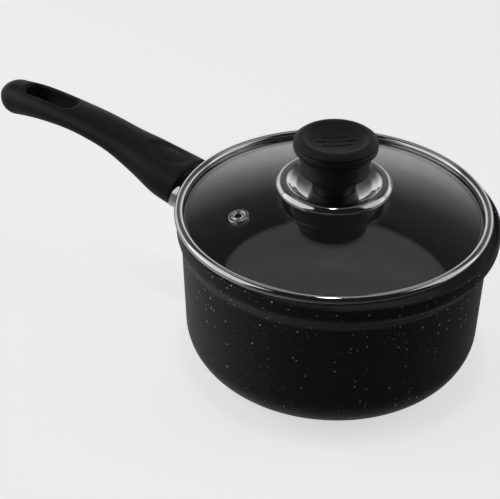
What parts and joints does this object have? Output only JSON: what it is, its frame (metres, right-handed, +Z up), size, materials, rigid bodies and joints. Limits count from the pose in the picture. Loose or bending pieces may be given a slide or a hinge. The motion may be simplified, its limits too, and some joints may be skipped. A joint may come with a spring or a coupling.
{
  "type": "saucepan with glass lid",
  "caption": "Small black non-stick saucepan with one long handle, a flared rim with a pour lip, and a domed glass lid with a steel band, vent and knob.",
  "frame": {"origin": "centre of the base's underside, on the flat disc that the pan stands on", "axes": "+Z up; the handle runs along -X and the pour lip faces +X; the lid's axis is parallel to Z"},
  "size_m": [0.3165, 0.1666, 0.13],
  "materials": {
    "pan_coating": "satin black non-stick coating with sparse pale flecks",
    "lug_aluminium": "as cast, lightly satin",
    "polished_steel": "polished stainless steel",
    "zinc_steel": "bright zinc-plated steel",
    "grip_black": "satin black phenolic",
    "knob_gloss": "semi-gloss black phenolic",
    "cap_matte": "soft matte black",
    "insert_brass": "turned",
    "silicone": "translucent matte",
    "clear_glass": "clear tempered"
  },
  "bodies": {
    "pan": {"pan_body": "pan_coating", "handle_lug": "lug_aluminium", "flame_guard": "polished_steel", "handle_grip": "grip_black", "handle_screw": "zinc_steel", "lock_washer": "zinc_steel"},
    "lid": {"lid_glass": "clear_glass", "rim_band": "polished_steel", "vent_eyelet": "polished_steel", "vent_washer": "zinc_steel", "top_seal": "silicone", "knob_plate": "polished_steel", "knob_collar": "knob_gloss", "knob_body": "knob_gloss", "knob_cap": "cap_matte", "knob_insert": "insert_brass", "under_seal": "silicone", "under_washer": "zinc_steel", "lid_screw": "zinc_steel"}
  },
  "joints": [
    {"name": "lid_lift", "type": "slide", "parent": "pan", "child": "lid", "axis": [0, 0, 1], "range_m": [0, 0.12]}
  ]
}
